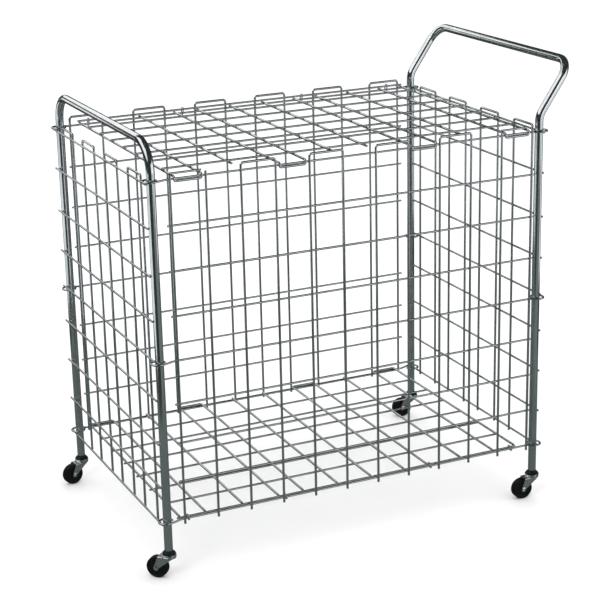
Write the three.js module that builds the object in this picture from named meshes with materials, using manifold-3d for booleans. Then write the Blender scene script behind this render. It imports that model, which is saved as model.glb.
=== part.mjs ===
// A rolling ball cart: two bent tube ends, six wire mesh panels and four swivel casters.
// Sizes are in millimetres. X runs along the cart, Y from front to back and Z up from the floor.

import * as THREE from 'three';
import { mergeVertices } from 'three/addons/utils/BufferGeometryUtils.js';
import Module from 'manifold-3d';

const wasm = await Module();
wasm.setup();

// Clearances
const FIT = 0.3; // between two pieces that touch
const WELD = 0.4; // how far two crossing wires sink into each other
const SAME_POINT = 0.001; // two places nearer than this are one
const SAME_ANGLE = 0.001; // and so are two headings

// Wires
const THICK_WIRE = 5.5;
const THIN_WIRE = 4.8;
const TIE_WIRE = 3;
const WIRE_SIDES = 6;
const WIRE_STEP = Math.PI / 6; // the widest step along a wire's bend
const LAYER = (THICK_WIRE + THIN_WIRE) / 2 - WELD; // between the centres of two crossing wires

// Casters, from the floor up
const WHEEL = 50;
const WHEEL_WIDTH = 18;
const WHEEL_EDGE = 2.4;
const WHEEL_SIDES = 24;
const OVER_WHEEL = 1;
const TRAIL = 28; // from the swivel axis back to the axle
const AXLE = 6.4;
const AXLE_HEAD = 11;
const AXLE_HEAD_HEIGHT = 1.5;
const AXLE_SIDES = 12;
const FORK_SHEET = 2;
const FORK_DISC = 33;
const FORK_BACK = 24; // from the swivel axis to the plate's straight back edge, over the wheel
const FORK_LEG_FRONT = 12.5; // from the swivel axis to the front of a leg's top
const FORK_EYE = 13; // width of a fork leg round the axle
const SIDE_PLAY = 1; // between the wheel and each leg
const CUP = 30;
const CUP_TOP = 25;
const CUP_BORE = 21;
const BEARING = 20;
const BEARING_BORE = 12;
const BEARING_HEIGHT = 3.6;
const RACE = 34;
const RACE_HEIGHT = 2.8;
const FLANGE = 30;
const FLANGE_RIM = 2.2;
const FLANGE_HEIGHT = 8.4;
const PLUG_LENGTH = 22;
const PLUG_CHAMFER = 1.2;
const KINGPIN = 8;
const KINGPIN_HEAD = 13;
const KINGPIN_HEAD_HEIGHT = 3;
const KINGPIN_REACH = 16; // how far the kingpin goes up into the bushing's plug
const ROUND_SIDES = 16;
const ARC_STEPS = 6; // half the steps of an arc cut in sheet

// End tubes
const TUBE = 19;
const TUBE_WALL = 1.5;
const TUBE_SIDES = 16;
const TUBE_STEP = Math.PI / 12; // the widest step along a tube's bend
const POST_SPACING_Y = 607;
const ARCH_TOP = 983;
const ARCH_BEND = 63;
const HANDLE_TOP = 1056.5;
const HANDLE_REACH = 81.4; // from the right posts out to the handle bar
const HANDLE_KNEE = 940;
const HANDLE_BEND = 45;
const KNEE_BEND = 45;

// Front and back mesh panels
const COLUMNS = 12;
const COLUMN_PITCH = 80;
const FRONT_OFFSET = 7.7; // the columns sit this far to the right of the cart's middle
const BACK_OFFSET = -3.7;
const COLUMN_TO_POST = 23.3; // from the front's last column to the right post, axis to axis
const BOTTOM_RAIL = 137;
const LOW_PITCH = 90;
const LOW_ROWS = 3; // this many rows, from the bottom one up, are at the low pitch
const HIGH_PITCH = 99.6;
const RAILS = 9;
const MIDDLE_ROW = 4;
const RAIL_OFFSET = 3.7; // how far the rails lie outside the posts' axes
const RAIL_OVERHANG = 6;
const RING_PLAY = 3.3; // a ring lies against the inner side of its post, with room round the rest
const RING_RUN_IN = 3; // a ring rail bends towards its post this far past the last column
const RING_RUN_IN_BEND = 5;
const COLUMN_OVERHANG = 10;
const FRONT_LOOP_RISE = 17;
const BACK_LOOP_RISE = 20;
const LOOP_BEND = 6;
const FRONT_LOOPS = [2, 4, 6, 8]; // the first column of each loop
const BACK_LOOPS = [0, 2, 4, 6, 8, 10];

// End mesh panels
const END_LOOPS = 4;
const END_LOOP_WIDTH = 80;
const END_LOOP_GAP = 70;
const END_LOOP_RISE = 11.5;
const END_LOOP_FOOT = 4;
const END_RAIL_FRONT = 3.5; // how far a rail goes past the front post's axis
const END_RAIL_BACK = 14.5; // and past the back post's axis
const LOW_END_RAIL_SHARES = [0, 0.233, 0.5, 0.766];
const HIGH_END_RAIL_SHARES = [0, 0.232, 0.488, 0.756, 1];

// Lid and floor
const TAB_WIDTH = 61;
const TAB_DROP = 9.5;
const TAB_BEND = 4.5;
const OUTER_TAB_COLUMNS = 5; // the loops stand this many columns out from the middle
const INNER_TAB_COLUMNS = 2;
const LONG_WIRES = 8;
const LONG_WIRE_OVERHANG = 5;
const HINGE_OVERHANG = 2.4;
const LID_HINGE_INSET = 5.2; // from the back rail in to the lid's hinge wire
const LID_PITCH = 79.1;
const LID_OVERHANG = 12;
const LID_BRACE_INSET = 7.2;
const FLOOR_HINGE_INSET = 7.2;
const FLOOR_PITCH = 86;
const FLOOR_OVERHANG = 5;
const LID_OFFSET = 7.7;
const FLOOR_OFFSET = -11.5;
const TIE_PLAY = 0.6;
const TIE_OPENING = 1;
const LID_TIE_COLUMNS = [0.4, 3.4, 7.4, 10.4]; // places along the front's columns, from 0 on
const FLOOR_TIE_COLUMNS = [0.13, 3.09, 7.75, 10.5];

// Worked out from the sizes above
const POST_X = ((COLUMNS - 1) / 2) * COLUMN_PITCH + FRONT_OFFSET + COLUMN_TO_POST;
const POST_Y = POST_SPACING_Y / 2;
const RAIL_Y = POST_Y + RAIL_OFFSET;
const COLUMN_Y = RAIL_Y + LAYER;
const END_RAIL_X = POST_X + TUBE / 2 + FIT + THIN_WIRE / 2;
const RING_X = POST_X + RING_PLAY;
const RING_RADIUS = (TUBE / 2 + FIT + RING_PLAY + THIN_WIRE / 2) / Math.cos(WIRE_STEP / 2);
const REST = THIN_WIRE / 2 + FIT + THICK_WIRE / 2; // from a rail to a thick wire that lies on it
const FORK_BOTTOM = WHEEL + OVER_WHEEL;
const BEARING_BOTTOM = FORK_BOTTOM + FORK_SHEET + FIT;
const RACE_BOTTOM = BEARING_BOTTOM + BEARING_HEIGHT + FIT;
const FLANGE_BOTTOM = RACE_BOTTOM + RACE_HEIGHT + FIT;
const TUBE_FOOT = FLANGE_BOTTOM + FLANGE_HEIGHT + FIT;

const ALONG_X = new THREE.Vector3(1, 0, 0);
const ALONG_Y = new THREE.Vector3(0, 1, 0);
const ALONG_Z = new THREE.Vector3(0, 0, 1);

function at(x, y, z) {
  return new THREE.Vector3(x, y, z);
}

function railHeight(row) {
  const lowRows = Math.min(row, LOW_ROWS);
  return BOTTOM_RAIL + lowRows * LOW_PITCH + (row - lowRows) * HIGH_PITCH;
}

function columnX(column, offset) {
  return (column - (COLUMNS - 1) / 2) * COLUMN_PITCH + offset;
}

// Turns a closed geometry into a solid that can be joined and cut.
function solidFrom(geometry) {
  geometry.deleteAttribute('normal');
  geometry.deleteAttribute('uv');
  const merged = mergeVertices(geometry);
  const index = merged.index.array;
  const corners = [];
  for (let i = 0; i < index.length; i += 3) {
    const [a, b, c] = index.slice(i, i + 3);
    if (a !== b && b !== c && c !== a) corners.push(a, b, c);
  }
  return new wasm.Manifold(new wasm.Mesh({
    numProp: 3,
    vertProperties: merged.attributes.position.array,
    triVerts: Uint32Array.from(corners),
  }));
}

function geometryFrom(solid) {
  const mesh = solid.getMesh();
  const geometry = new THREE.BufferGeometry();
  geometry.setAttribute('position', new THREE.BufferAttribute(mesh.vertProperties, 3));
  geometry.setIndex(new THREE.BufferAttribute(mesh.triVerts, 1));
  geometry.computeVertexNormals();
  return geometry;
}

function joined(solids) {
  return solids.reduce((whole, solid) => whole.add(solid));
}

// Walks straight runs with a round bend at each inner corner, and gives the place and the heading
// at the ends of each run and at each step of a bend. A corner is { place, bend }.
function stationsAlong(corners, step) {
  const heading = (i) => corners[i + 1].place.clone().sub(corners[i].place).normalize();
  const last = corners.length - 1;
  const stations = [{ place: corners[0].place, heading: heading(0) }];
  for (let i = 1; i < last; i += 1) {
    const { place, bend } = corners[i];
    const into = heading(i - 1);
    const turn = into.angleTo(heading(i));
    const axis = into.clone().cross(heading(i)).normalize();
    const start = place.clone().addScaledVector(into, -bend * Math.tan(turn / 2));
    const centre = start.clone().addScaledVector(axis.clone().cross(into), bend);
    const steps = Math.ceil((turn - SAME_ANGLE) / step);
    for (let k = 0; k <= steps; k += 1) {
      const angle = (turn * k) / steps;
      const onBend = start.clone().sub(centre).applyAxisAngle(axis, angle).add(centre);
      stations.push({ place: onBend, heading: into.clone().applyAxisAngle(axis, angle) });
    }
  }
  stations.push({ place: corners[last].place, heading: heading(last - 1) });
  const apart = (station, i) => i === 0 || station.place.distanceTo(stations[i - 1].place) > SAME_POINT;
  return stations.filter(apart);
}

// The path of a bent wire or tube. The section's first corner faces the given way at the start,
// and the section is carried along without twist.
class BentPath extends THREE.Curve {
  constructor(corners, facing, step) {
    super();
    const stations = stationsAlong(corners, step);
    this.places = stations.map((station) => station.place);
    this.tangents = stations.map((station) => station.heading);
    this.normals = [facing.clone().projectOnPlane(this.tangents[0]).normalize()];
    for (let i = 1; i < stations.length; i += 1) {
      const turn = new THREE.Quaternion().setFromUnitVectors(this.tangents[i - 1], this.tangents[i]);
      this.normals.push(this.normals[i - 1].clone().applyQuaternion(turn));
    }
    this.binormals = this.normals.map((normal, i) => this.tangents[i].clone().cross(normal));
  }

  getSpacedPoints() {
    return this.places;
  }

  computeFrenetFrames() {
    return { tangents: this.tangents, normals: this.normals, binormals: this.binormals };
  }
}

function ringOfPoints(diameter, sides) {
  return Array.from({ length: sides }, (_, i) => {
    const angle = (2 * Math.PI * i) / sides;
    return new THREE.Vector2((Math.cos(angle) * diameter) / 2, (Math.sin(angle) * diameter) / 2);
  });
}

function sweep(section, path) {
  const steps = path.places.length - 1;
  return solidFrom(new THREE.ExtrudeGeometry(section, { extrudePath: path, steps }));
}

function wire(diameter, facing, corners) {
  const section = new THREE.Shape(ringOfPoints(diameter, WIRE_SIDES));
  return sweep(section, new BentPath(corners, facing, WIRE_STEP));
}

function straightWire(diameter, facing, start, end) {
  return wire(diameter, facing, [{ place: start }, { place: end }]);
}

function tube(corners) {
  const section = new THREE.Shape(ringOfPoints(TUBE, TUBE_SIDES));
  section.holes.push(new THREE.Path(ringOfPoints(TUBE - 2 * TUBE_WALL, TUBE_SIDES)));
  return sweep(section, new BentPath(corners, ALONG_X, TUBE_STEP));
}

// A round piece about Z, from its outline as [diameter, height] pairs.
function turned(outline, sides) {
  const points = outline.map(([diameter, height]) => new THREE.Vector2(diameter / 2, height));
  const closed = [...points, points[0]];
  return solidFrom(new THREE.LatheGeometry(closed, sides).rotateX(Math.PI / 2));
}

// The left posts and the arch that joins them.
function leftEndTube() {
  const corner = (y, z, bend) => ({ place: at(-POST_X, y, z), bend });
  return tube([
    corner(-POST_Y, TUBE_FOOT),
    corner(-POST_Y, ARCH_TOP, ARCH_BEND),
    corner(POST_Y, ARCH_TOP, ARCH_BEND),
    corner(POST_Y, TUBE_FOOT),
  ]);
}

// The right posts, which lean out above the panels and carry the handle bar.
function rightEndTube() {
  const barX = POST_X + HANDLE_REACH;
  return tube([
    { place: at(POST_X, -POST_Y, TUBE_FOOT) },
    { place: at(POST_X, -POST_Y, HANDLE_KNEE), bend: KNEE_BEND },
    { place: at(barX, -POST_Y, HANDLE_TOP), bend: HANDLE_BEND },
    { place: at(barX, POST_Y, HANDLE_TOP), bend: HANDLE_BEND },
    { place: at(POST_X, POST_Y, HANDLE_KNEE), bend: KNEE_BEND },
    { place: at(POST_X, POST_Y, TUBE_FOOT) },
  ]);
}

// A wire that goes up from one foot, bends across and comes down to the other.
function loopWire(diameter, facing, footA, footB, top) {
  return wire(diameter, facing, [
    { place: footA },
    { place: at(footA.x, footA.y, top), bend: LOOP_BEND },
    { place: at(footB.x, footB.y, top), bend: LOOP_BEND },
    { place: footB },
  ]);
}

// The corners of a rail's end where it leaves the last column and wraps round its post.
// They are listed from the column outward, and side and face point from the middle to the post.
// The run-in is the line from the rail's end that touches the ring's circle.
function ringCorners(side, face, lastColumnX, height) {
  const place = (out, away) => at(side * (RING_X + out), face * (POST_Y + away), height);
  const start = side * lastColumnX + THICK_WIRE / 2 + RING_RUN_IN - RING_X;
  const slope = Math.asin(RING_RADIUS / Math.hypot(start, RAIL_OFFSET)) - Math.atan2(RAIL_OFFSET, -start);
  const meets = RAIL_OFFSET + (RING_RADIUS - start) * Math.tan(slope);
  return [
    { place: place(start, RAIL_OFFSET), bend: RING_RUN_IN_BEND },
    { place: place(RING_RADIUS, meets), bend: RING_RADIUS },
    { place: place(RING_RADIUS, -RING_RADIUS), bend: RING_RADIUS },
    { place: place(-RING_RADIUS, -RING_RADIUS), bend: RING_RADIUS },
    { place: place(-RING_RADIUS, 0) },
  ];
}

// The front panel has face -1 and the back panel has face 1.
function longPanel(face, offset, loopRise, loopStarts) {
  const foot = railHeight(0) - COLUMN_OVERHANG;
  const topRail = railHeight(RAILS - 1);
  const firstX = columnX(0, offset);
  const lastX = columnX(COLUMNS - 1, offset);
  const wires = [];
  for (const start of loopStarts) {
    const footA = at(columnX(start, offset), face * COLUMN_Y, foot);
    const footB = at(columnX(start + 1, offset), face * COLUMN_Y, foot);
    wires.push(loopWire(THICK_WIRE, ALONG_Y, footA, footB, topRail + loopRise));
  }
  for (let column = 0; column < COLUMNS; column += 1) {
    if (loopStarts.includes(column) || loopStarts.includes(column - 1)) continue;
    const x = columnX(column, offset);
    const top = topRail + COLUMN_OVERHANG;
    wires.push(straightWire(THICK_WIRE, ALONG_Y, at(x, face * COLUMN_Y, foot), at(x, face * COLUMN_Y, top)));
  }
  for (let row = 0; row < RAILS; row += 1) {
    const height = railHeight(row);
    if (row === 0 || row === MIDDLE_ROW || row === RAILS - 1) {
      const left = ringCorners(-1, face, firstX, height).reverse();
      wires.push(wire(THIN_WIRE, ALONG_X, [...left, ...ringCorners(1, face, lastX, height)]));
    } else {
      const reach = THICK_WIRE / 2 + RAIL_OVERHANG;
      const start = at(firstX - reach, face * RAIL_Y, height);
      wires.push(straightWire(THIN_WIRE, ALONG_Y, start, at(lastX + reach, face * RAIL_Y, height)));
    }
  }
  return joined(wires);
}

// The level wires of the end panels pass just under or over the rings of the long panels.
function endRailHeights() {
  const clear = THIN_WIRE + 2 * FIT;
  const bottom = railHeight(0) - clear;
  const middle = railHeight(MIDDLE_ROW) + clear;
  const top = railHeight(RAILS - 1) - clear;
  const low = LOW_END_RAIL_SHARES.map((share) => bottom + share * (middle - bottom));
  const high = HIGH_END_RAIL_SHARES.map((share) => middle + share * (top - middle));
  return [...low, ...high];
}

// Side is -1 for the left end panel and 1 for the right one.
function endPanel(side) {
  const heights = endRailHeights();
  const foot = heights[0] - END_LOOP_FOOT;
  const top = heights[heights.length - 1] + END_LOOP_RISE;
  const loopX = side * (END_RAIL_X - LAYER);
  const front = -(POST_Y + END_RAIL_FRONT);
  const back = POST_Y + END_RAIL_BACK;
  const wires = [];
  for (let loop = 0; loop < END_LOOPS; loop += 1) {
    const middle = (loop - (END_LOOPS - 1) / 2) * (END_LOOP_WIDTH + END_LOOP_GAP);
    const footA = at(loopX, middle - END_LOOP_WIDTH / 2, foot);
    const footB = at(loopX, middle + END_LOOP_WIDTH / 2, foot);
    wires.push(loopWire(THICK_WIRE, ALONG_X, footA, footB, top));
  }
  for (const height of heights) {
    const start = at(side * END_RAIL_X, front, height);
    wires.push(straightWire(THIN_WIRE, ALONG_X, start, at(side * END_RAIL_X, back, height)));
  }
  return joined(wires);
}

// A tab: the wire goes over the rail, down behind it, along, and back over the rail.
function tabCorners(near, far, ahead, z) {
  const y = ahead * (RAIL_Y + REST);
  return [
    { place: at(near, y, z), bend: TAB_BEND },
    { place: at(near, y, z - TAB_DROP), bend: TAB_BEND },
    { place: at(far, y, z - TAB_DROP), bend: TAB_BEND },
    { place: at(far, y, z), bend: TAB_BEND },
  ];
}

// A flat loop: the wire turns along the rail and lies on it.
function flatLoopCorners(near, far, ahead, z) {
  const y = ahead * RAIL_Y;
  return [{ place: at(near, y, z), bend: LOOP_BEND }, { place: at(far, y, z), bend: LOOP_BEND }];
}

// The lid and the floor. Cross wires run from the hinge wire towards the far rail, where the four
// loops get the corners that loopCorners gives, and long wires cross them on the side that longSide
// gives. Ahead is 1 or -1, the way from the hinge to the far rail along Y.
function swingPanel({ ahead, rail, longSide, hingeInset, pitch, overhang, offset, loopCorners }) {
  const crossZ = rail + REST;
  const longZ = crossZ + longSide * LAYER;
  const hingeY = -ahead * (RAIL_Y - hingeInset);
  const backEnd = hingeY - ahead * HINGE_OVERHANG;
  const lastLongY = hingeY + ahead * pitch * (LONG_WIRES - 1);
  const plainEnd = lastLongY + ahead * overhang;
  const outer = OUTER_TAB_COLUMNS * COLUMN_PITCH;
  const inner = INNER_TAB_COLUMNS * COLUMN_PITCH;
  const between = (outer + inner) / 2;
  const nearMiddle = (inner - TAB_WIDTH / 2) / 3;
  const wires = [];
  for (const middle of [-outer, -inner, inner, outer]) {
    const near = offset + middle - TAB_WIDTH / 2;
    const far = near + TAB_WIDTH;
    wires.push(wire(THICK_WIRE, ALONG_Z, [
      { place: at(near, backEnd, crossZ) },
      ...loopCorners(near, far, ahead, crossZ),
      { place: at(far, backEnd, crossZ) },
    ]));
  }
  for (const x of [-between, -nearMiddle, nearMiddle, between]) {
    const start = at(x + offset, backEnd, crossZ);
    wires.push(straightWire(THICK_WIRE, ALONG_Z, start, at(x + offset, plainEnd, crossZ)));
  }
  const reach = outer + TAB_WIDTH / 2 + LONG_WIRE_OVERHANG;
  for (let row = 0; row < LONG_WIRES; row += 1) {
    const y = hingeY + ahead * pitch * row;
    wires.push(straightWire(THIN_WIRE, ALONG_Z, at(offset - reach, y, longZ), at(offset + reach, y, longZ)));
  }
  return wires;
}

function lidPanel() {
  const wires = swingPanel({
    ahead: -1,
    rail: railHeight(RAILS - 1),
    longSide: 1,
    hingeInset: LID_HINGE_INSET,
    pitch: LID_PITCH,
    overhang: LID_OVERHANG,
    offset: LID_OFFSET,
    loopCorners: tabCorners,
  });
  const y = -(RAIL_Y - LID_BRACE_INSET);
  const z = railHeight(RAILS - 1) + REST + LAYER;
  const reach = TAB_WIDTH / 2 + LONG_WIRE_OVERHANG;
  for (const side of [-1, 1]) {
    const x = side * OUTER_TAB_COLUMNS * COLUMN_PITCH + LID_OFFSET;
    wires.push(straightWire(THIN_WIRE, ALONG_Z, at(x - reach, y, z), at(x + reach, y, z)));
  }
  return joined(wires);
}

function floorPanel() {
  return joined(swingPanel({
    ahead: 1,
    rail: railHeight(0),
    longSide: -1,
    hingeInset: FLOOR_HINGE_INSET,
    pitch: FLOOR_PITCH,
    overhang: FLOOR_OVERHANG,
    offset: FLOOR_OFFSET,
    loopCorners: flatLoopCorners,
  }));
}

// An open ring of wire, round a rail and a hinge wire that both run along X.
function tieRing(x, rail, hinge) {
  const bend = (THIN_WIRE / 2 + TIE_PLAY + TIE_WIRE / 2) / Math.cos(WIRE_STEP / 2);
  const along = hinge.clone().sub(rail).normalize();
  const across = along.clone().cross(ALONG_X);
  const corner = (from, alongShare, acrossShare, radius) => {
    const place = from.clone().addScaledVector(along, alongShare * bend);
    place.addScaledVector(across, acrossShare * bend).setX(x);
    return { place, bend: radius };
  };
  const middle = rail.clone().add(hinge).multiplyScalar(1 / 2);
  const end = TIE_OPENING / 2 / bend;
  return wire(TIE_WIRE, ALONG_X, [
    corner(middle, end, 1),
    corner(hinge, 1, 1, bend),
    corner(hinge, 1, -1, bend),
    corner(rail, -1, -1, bend),
    corner(rail, -1, 1, bend),
    corner(middle, -end, 1),
  ]);
}

function lidTieRing(x) {
  const rail = at(0, RAIL_Y, railHeight(RAILS - 1));
  return tieRing(x, rail, at(0, RAIL_Y - LID_HINGE_INSET, rail.z + REST + LAYER));
}

function floorTieRing(x) {
  const rail = at(0, -RAIL_Y, railHeight(0));
  return tieRing(x, rail, at(0, -RAIL_Y + FLOOR_HINGE_INSET, rail.z + REST - LAYER));
}

// The caster's pieces are built about the swivel axis, with the axle out along X.

function bushing() {
  const bore = KINGPIN + 2 * FIT;
  const plug = TUBE - 2 * TUBE_WALL - 2 * FIT;
  const shoulder = FLANGE_BOTTOM + FLANGE_HEIGHT;
  const top = TUBE_FOOT + PLUG_LENGTH;
  return turned([
    [bore, FLANGE_BOTTOM],
    [FLANGE, FLANGE_BOTTOM],
    [FLANGE, FLANGE_BOTTOM + FLANGE_RIM],
    [TUBE, shoulder],
    [plug, shoulder],
    [plug, top - PLUG_CHAMFER],
    [plug - 2 * PLUG_CHAMFER, top],
    [bore, top],
  ], ROUND_SIDES);
}

function kingpin() {
  const headTop = FORK_BOTTOM - FIT;
  return turned([
    [0, headTop - KINGPIN_HEAD_HEIGHT],
    [KINGPIN, headTop - KINGPIN_HEAD_HEIGHT],
    [KINGPIN_HEAD, headTop - KINGPIN_HEAD_HEIGHT / 2],
    [KINGPIN_HEAD, headTop],
    [KINGPIN, headTop],
    [KINGPIN, TUBE_FOOT + KINGPIN_REACH],
    [0, TUBE_FOOT + KINGPIN_REACH],
  ], AXLE_SIDES);
}

function raceDisc() {
  const bore = KINGPIN + 2 * FIT;
  return turned([
    [bore, RACE_BOTTOM],
    [RACE, RACE_BOTTOM],
    [RACE, RACE_BOTTOM + RACE_HEIGHT],
    [bore, RACE_BOTTOM + RACE_HEIGHT],
  ], ROUND_SIDES);
}

function ballRing() {
  return turned([
    [BEARING_BORE, BEARING_BOTTOM],
    [BEARING, BEARING_BOTTOM],
    [BEARING, BEARING_BOTTOM + BEARING_HEIGHT],
    [BEARING_BORE, BEARING_BOTTOM + BEARING_HEIGHT],
  ], AXLE_SIDES);
}

// The flat top of the fork, round at the swivel and straight over the wheel.
function forkPlate() {
  const half = WHEEL_WIDTH / 2 + SIDE_PLAY + FORK_SHEET;
  const radius = FORK_DISC / 2;
  const meets = Math.asin(half / radius);
  const outline = new THREE.Shape();
  outline.moveTo(FORK_BACK, -half);
  outline.lineTo(FORK_BACK, half);
  outline.absarc(0, 0, radius, meets, 2 * Math.PI - meets, false);
  outline.holes.push(new THREE.Path().absarc(0, 0, KINGPIN / 2 + FIT, 0, 2 * Math.PI, true));
  const sheet = { depth: FORK_SHEET, bevelEnabled: false, curveSegments: ARC_STEPS };
  return solidFrom(new THREE.ExtrudeGeometry(outline, sheet).translate(0, 0, FORK_BOTTOM));
}

// One side of the fork, a flat leg from the plate down to the axle. Y is one of its faces.
function forkLeg(y) {
  const top = FORK_BOTTOM + FORK_SHEET / 2;
  const outline = new THREE.Shape();
  outline.moveTo(FORK_BACK - FORK_SHEET, top);
  outline.lineTo(-FORK_LEG_FRONT, top);
  outline.absarc(TRAIL, WHEEL / 2, FORK_EYE / 2, Math.PI, 2 * Math.PI, false);
  outline.holes.push(new THREE.Path().absarc(TRAIL, WHEEL / 2, AXLE / 2 + FIT, 0, 2 * Math.PI, true));
  const sheet = { depth: FORK_SHEET, bevelEnabled: false, curveSegments: ARC_STEPS };
  const leg = new THREE.ExtrudeGeometry(outline, sheet).rotateX(Math.PI / 2);
  return solidFrom(leg.translate(0, y, 0));
}

function fork() {
  const plateTop = FORK_BOTTOM + FORK_SHEET;
  const cupTop = RACE_BOTTOM - FIT;
  const cup = turned([
    [CUP_BORE, plateTop - FORK_SHEET / 2],
    [CUP, plateTop - FORK_SHEET / 2],
    [CUP, plateTop],
    [CUP_TOP, cupTop],
    [CUP_BORE, cupTop],
  ], ROUND_SIDES);
  const inner = WHEEL_WIDTH / 2 + SIDE_PLAY;
  return joined([forkPlate(), cup, forkLeg(-inner), forkLeg(inner + FORK_SHEET)]);
}

// The axle and the wheel are turned about Z here and are laid along Y by their meshes.

function axle() {
  const shoulder = WHEEL_WIDTH / 2 + SIDE_PLAY + FORK_SHEET + FIT;
  const end = shoulder + AXLE_HEAD_HEIGHT;
  return turned([
    [0, -end],
    [AXLE_HEAD, -end],
    [AXLE_HEAD, -shoulder],
    [AXLE, -shoulder],
    [AXLE, shoulder],
    [AXLE_HEAD, shoulder],
    [AXLE_HEAD, end],
    [0, end],
  ], AXLE_SIDES);
}

// The wheel's flats are a wheel's radius from its axis, so it stands on one.
function wheel() {
  const bore = AXLE + 2 * FIT;
  const side = WHEEL_WIDTH / 2;
  const corner = WHEEL / Math.cos(Math.PI / WHEEL_SIDES);
  return turned([
    [bore, -side],
    [corner - 2 * WHEEL_EDGE, -side],
    [corner, -side + WHEEL_EDGE],
    [corner, side - WHEEL_EDGE],
    [corner - 2 * WHEEL_EDGE, side],
    [bore, side],
  ], WHEEL_SIDES);
}

const FINISHES = {
  chrome: { color: 0xc3c9ca, roughness: 0.18, metalness: 1 },
  zinc: { color: 0xb9bdbf, roughness: 0.35, metalness: 1 },
  steel: { color: 0x8d9092, roughness: 0.4, metalness: 1 },
  black: { color: 0x151617, roughness: 0.5, metalness: 0 },
};

function piece(name, solid, finish) {
  const mesh = new THREE.Mesh(geometryFrom(solid), new THREE.MeshStandardMaterial(FINISHES[finish]));
  mesh.name = name;
  return mesh;
}

// Lays a piece that was turned about Z along Y, with the middle of one of its sides facing down.
function laidOnAxle(mesh, sides) {
  mesh.position.set(TRAIL, 0, WHEEL / 2);
  mesh.rotation.set(Math.PI / 2, 0, Math.PI / sides);
  return mesh;
}

function caster(corner, side, face, heading) {
  const group = new THREE.Group();
  group.position.set(side * POST_X, face * POST_Y, 0);
  group.rotation.z = heading;
  group.add(
    piece(`${corner}_bushing`, bushing(), 'black'),
    piece(`${corner}_kingpin`, kingpin(), 'zinc'),
    piece(`${corner}_race_disc`, raceDisc(), 'zinc'),
    piece(`${corner}_ball_ring`, ballRing(), 'steel'),
    piece(`${corner}_fork`, fork(), 'zinc'),
    laidOnAxle(piece(`${corner}_axle`, axle(), 'steel'), AXLE_SIDES),
    laidOnAxle(piece(`${corner}_wheel`, wheel(), 'black'), WHEEL_SIDES),
  );
  return group;
}

// Each caster's corner, its side and face, and the way its wheel trails, in degrees from +X.
const CASTERS = [
  ['front_left', -1, -1, 135],
  ['back_left', -1, 1, 193],
  ['front_right', 1, -1, 178],
  ['back_right', 1, 1, 170],
];

const cart = new THREE.Group();
cart.add(
  piece('left_end_tube', leftEndTube(), 'chrome'),
  piece('right_end_tube', rightEndTube(), 'chrome'),
  piece('left_end_mesh', endPanel(-1), 'chrome'),
  piece('right_end_mesh', endPanel(1), 'chrome'),
  piece('front_panel', longPanel(-1, FRONT_OFFSET, FRONT_LOOP_RISE, FRONT_LOOPS), 'chrome'),
  piece('back_panel', longPanel(1, BACK_OFFSET, BACK_LOOP_RISE, BACK_LOOPS), 'chrome'),
  piece('lid_panel', lidPanel(), 'chrome'),
  piece('floor_panel', floorPanel(), 'chrome'),
);
LID_TIE_COLUMNS.forEach((column, i) => {
  cart.add(piece(`lid_tie_ring_${i + 1}`, lidTieRing(columnX(column, FRONT_OFFSET)), 'zinc'));
});
FLOOR_TIE_COLUMNS.forEach((column, i) => {
  cart.add(piece(`floor_tie_ring_${i + 1}`, floorTieRing(columnX(column, FRONT_OFFSET)), 'zinc'));
});
for (const [corner, side, face, degrees] of CASTERS) {
  cart.add(caster(corner, side, face, THREE.MathUtils.degToRad(degrees)));
}

// The finished cart stands with the middle of its bounding box over the origin.
cart.updateMatrixWorld(true);
const middle = new THREE.Box3().setFromObject(cart, true).getCenter(new THREE.Vector3());
cart.position.set(-middle.x, -middle.y, 0);

export default new THREE.Group().add(cart);
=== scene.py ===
# %% [markdown]
# # A wire mesh ball cart
# Two bent tubes, six welded wire panels and four casters make this cart. The construction comes in
# as a fixed frame of faceted solids. Each of them gets a round, smooth stand-in here, worked out from
# the same sizes, because on bright plated steel every facet would show in the reflections.

import bpy
import numpy as np
from mathutils import Matrix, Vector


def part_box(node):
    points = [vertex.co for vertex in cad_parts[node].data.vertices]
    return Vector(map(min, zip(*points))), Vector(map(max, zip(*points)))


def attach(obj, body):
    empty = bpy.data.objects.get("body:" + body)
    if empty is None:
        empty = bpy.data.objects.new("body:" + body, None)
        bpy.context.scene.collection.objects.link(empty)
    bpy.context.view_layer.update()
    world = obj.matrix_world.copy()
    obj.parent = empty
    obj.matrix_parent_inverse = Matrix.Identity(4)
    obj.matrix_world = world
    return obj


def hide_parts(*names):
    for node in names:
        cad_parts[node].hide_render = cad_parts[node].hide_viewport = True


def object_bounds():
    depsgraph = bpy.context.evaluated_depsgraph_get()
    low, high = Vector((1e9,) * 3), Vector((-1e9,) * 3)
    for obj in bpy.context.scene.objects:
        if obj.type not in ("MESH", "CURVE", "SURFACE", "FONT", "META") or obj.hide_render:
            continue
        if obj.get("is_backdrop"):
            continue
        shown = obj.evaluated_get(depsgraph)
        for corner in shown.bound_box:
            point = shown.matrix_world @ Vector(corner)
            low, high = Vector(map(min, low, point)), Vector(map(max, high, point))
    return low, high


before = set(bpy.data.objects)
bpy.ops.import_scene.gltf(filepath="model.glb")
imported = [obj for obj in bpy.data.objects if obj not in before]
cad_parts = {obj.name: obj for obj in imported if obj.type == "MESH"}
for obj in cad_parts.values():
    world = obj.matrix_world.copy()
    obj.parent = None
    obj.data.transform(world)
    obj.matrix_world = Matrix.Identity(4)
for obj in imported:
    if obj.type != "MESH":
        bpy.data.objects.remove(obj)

cad_box = [list(corner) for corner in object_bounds()]
print("nodes in the frame:", len(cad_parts))

# %% [markdown]
# ## Sizes
# The cart is stock material: 19 mm tube, wires of 5.5 and 4.8 mm, and 50 mm wheels. Blender works in
# metres, so each size is written in millimetres and multiplied by one unit. The middle of the posts
# is read from the frame, so the pieces land where the solids are.

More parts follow.
